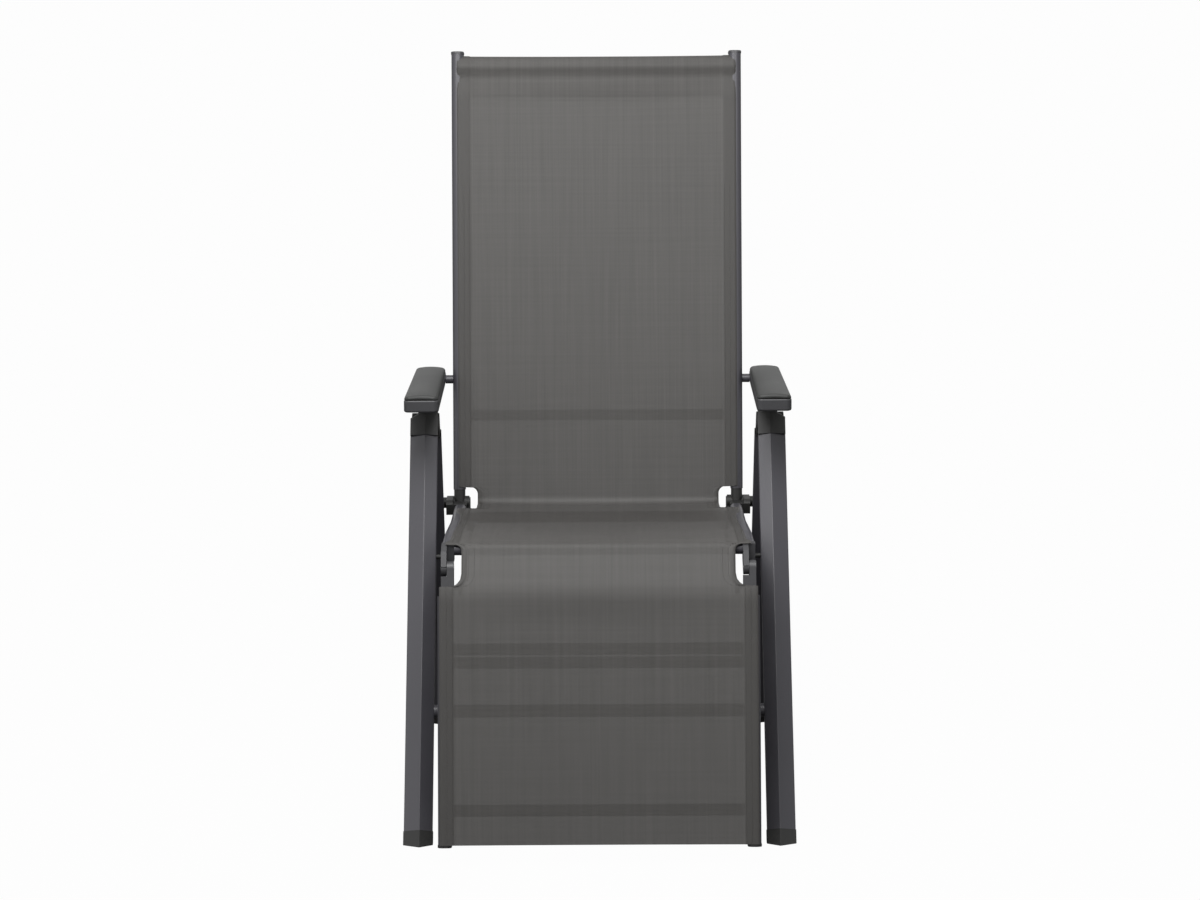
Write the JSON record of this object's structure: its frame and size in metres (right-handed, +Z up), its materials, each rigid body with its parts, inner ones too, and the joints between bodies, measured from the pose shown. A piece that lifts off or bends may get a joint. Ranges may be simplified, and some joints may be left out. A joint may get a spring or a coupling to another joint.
{
  "type": "reclining garden armchair",
  "caption": "Folding reclining garden armchair with a high back, long armrests and a footrest, of anthracite tube frame and taut grey mesh sling.",
  "frame": {"origin": "on the floor, under the middle of the whole chair seen from above", "axes": "+X to the side that is right when seen from the front, -Y to the front where the footrest is, +Z up"},
  "size_m": [0.605, 0.8026, 1.1368],
  "materials": {
    "frame_metal": "satin",
    "cast_grey": "satin",
    "black_plastic": "matte",
    "arm_plastic": "satin",
    "arm_pad": "matte",
    "steel": "brushed",
    "sling": "matte"
  },
  "bodies": {
    "front_legs": {"front_leg_left": "frame_metal", "front_leg_right": "frame_metal", "front_foot_left": "black_plastic", "front_foot_right": "black_plastic", "front_leg_head_left": "black_plastic", "front_leg_head_right": "black_plastic", "front_leg_crossbar": "frame_metal", "leg_pivot_pins": "steel", "seat_bolts": "black_plastic"},
    "rear_legs": {"rear_leg_left": "frame_metal", "rear_leg_right": "frame_metal", "rear_foot_left": "black_plastic", "rear_foot_right": "black_plastic", "rear_leg_head_left": "black_plastic", "rear_leg_head_right": "black_plastic", "seat_cradle_left": "black_plastic", "seat_cradle_right": "black_plastic", "rear_leg_crossbar": "frame_metal"},
    "seat": {"seat_rail_left": "frame_metal", "seat_rail_right": "frame_metal", "seat_lug_left": "frame_metal", "seat_lug_right": "frame_metal", "rear_hinge_ear_left": "black_plastic", "rear_hinge_ear_right": "black_plastic", "back_pivot_pins": "black_plastic", "front_hinge_knuckle_left": "cast_grey", "front_hinge_knuckle_right": "cast_grey", "seat_rear_crossbar": "frame_metal", "seat_front_crossbar": "frame_metal", "footrest_pins": "steel", "seat_sling": "sling"},
    "backrest": {"back_tube_left": "frame_metal", "back_tube_right": "frame_metal", "back_tube_cap_left": "arm_plastic", "back_tube_cap_right": "arm_plastic", "back_hinge_insert_left": "black_plastic", "back_hinge_insert_right": "black_plastic", "back_lower_crossbar": "frame_metal", "back_top_crossbar": "frame_metal", "back_sling": "sling", "arm_bolts": "frame_metal"},
    "footrest": {"footrest_bracket_left": "cast_grey", "footrest_bracket_right": "cast_grey", "footrest_tube_left": "frame_metal", "footrest_tube_right": "frame_metal", "footrest_tube_cap_left": "black_plastic", "footrest_tube_cap_right": "black_plastic", "footrest_upper_crossbar": "frame_metal", "footrest_lower_crossbar": "frame_metal", "footrest_sling": "sling"},
    "armrest_left": {"arm_body_left": "arm_plastic", "arm_pad_left": "arm_pad"},
    "armrest_right": {"arm_body_right": "arm_plastic", "arm_pad_right": "arm_pad"},
    "push_rods": {"push_rod_left": "steel", "push_rod_right": "steel"}
  },
  "joints": [
    {"name": "fold", "type": "hinge", "parent": "front_legs", "child": "seat", "pos_m": [0, -0.0542, 0.38603], "axis": [1, 0, 0], "range_deg": [0, 35]},
    {"name": "rear_leg_fold", "type": "hinge", "parent": "front_legs", "child": "rear_legs", "pos_m": [0, 0.0808, 0.569], "axis": [-1, 0, 0], "range_deg": [0, 49]},
    {"name": "recline", "type": "hinge", "parent": "seat", "child": "backrest", "pos_m": [0, 0.2168, 0.405], "axis": [-1, 0, 0], "range_deg": [0, 38]},
    {"name": "footrest_raise", "type": "hinge", "parent": "seat", "child": "footrest", "pos_m": [0, -0.2782, 0.429], "axis": [-1, 0, 0], "range_deg": [0, 57]},
    {"name": "armrest_left_tilt", "type": "hinge", "parent": "backrest", "child": "armrest_left", "pos_m": [-0.2775, 0.26327, 0.6047], "axis": [1, 0, 0], "range_deg": [0, 26.1]},
    {"name": "armrest_right_tilt", "type": "hinge", "parent": "backrest", "child": "armrest_right", "pos_m": [0.2775, 0.26327, 0.6047], "axis": [1, 0, 0], "range_deg": [0, 26.1]},
    {"name": "push_rod_swing", "type": "hinge", "parent": "backrest", "child": "push_rods", "pos_m": [0, 0.2083, 0.36848], "axis": [1, 0, 0], "range_deg": [0, 37.3]}
  ],
  "couplings": [
    {"joint": "rear_leg_fold", "follows": "fold", "ratio": 1.4},
    {"joint": "footrest_raise", "follows": "recline", "ratio": 1.5},
    {"joint": "armrest_left_tilt", "follows": "recline", "ratio": 0.685},
    {"joint": "armrest_right_tilt", "follows": "recline", "ratio": 0.685},
    {"joint": "push_rod_swing", "follows": "recline", "ratio": 0.98}
  ]
}
